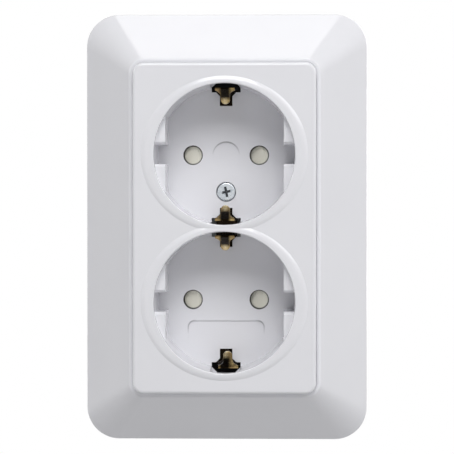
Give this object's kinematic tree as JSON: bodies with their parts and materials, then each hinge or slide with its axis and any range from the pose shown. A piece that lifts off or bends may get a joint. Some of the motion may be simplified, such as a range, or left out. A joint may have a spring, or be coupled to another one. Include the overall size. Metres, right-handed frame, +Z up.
{
  "type": "double socket outlet",
  "caption": "Flush wall outlet with round earthed plug wells, sliding pin shutters, a raised panel and a bevelled frame over a screw-terminal insert.",
  "frame": {"origin": "centre of the outlet on the wall plane", "axes": "+Z up, front faces -Y, wall box at +Y"},
  "size_m": [0.081, 0.0415, 0.1228],
  "materials": {
    "white_plastic": "gloss",
    "cream_plastic": "matte",
    "grey_plastic": "matte",
    "brass": "satin",
    "zinc_steel": "zinc plated",
    "spring_steel": "drawn"
  },
  "bodies": {
    "outlet": {"cover_frame": "white_plastic", "socket_cover": "white_plastic", "cover_screw": "zinc_steel", "shutter_carrier": "grey_plastic", "carrier_screws": "zinc_steel", "base": "grey_plastic", "jaw_rings": "spring_steel", "earth_strap": "brass", "strap_rivets": "brass", "earth_clamp_plate": "zinc_steel", "earth_terminal_screw": "zinc_steel", "mounting_bracket": "zinc_steel", "bracket_screws": "zinc_steel", "upper_shutter_spring": "spring_steel", "lower_shutter_spring": "spring_steel", "live_contact_bar": "brass", "live_terminal_cages": "zinc_steel", "live_terminal_screws": "zinc_steel", "neutral_contact_bar": "brass", "neutral_terminal_cages": "zinc_steel", "neutral_terminal_screws": "zinc_steel"},
    "upper_shutter": {"upper_shutter": "cream_plastic"},
    "lower_shutter": {"lower_shutter": "cream_plastic"}
  },
  "joints": [
    {"name": "upper_shutter_slide", "type": "slide", "parent": "outlet", "child": "upper_shutter", "axis": [1, 0, 0], "range_m": [0, 0.0069], "stiffness_N_per_m": 120, "springref_m": -0.003, "deforming": ["upper_shutter_spring"]},
    {"name": "lower_shutter_slide", "type": "slide", "parent": "outlet", "child": "lower_shutter", "axis": [1, 0, 0], "range_m": [0, 0.0069], "stiffness_N_per_m": 120, "springref_m": -0.003, "deforming": ["lower_shutter_spring"]}
  ]
}
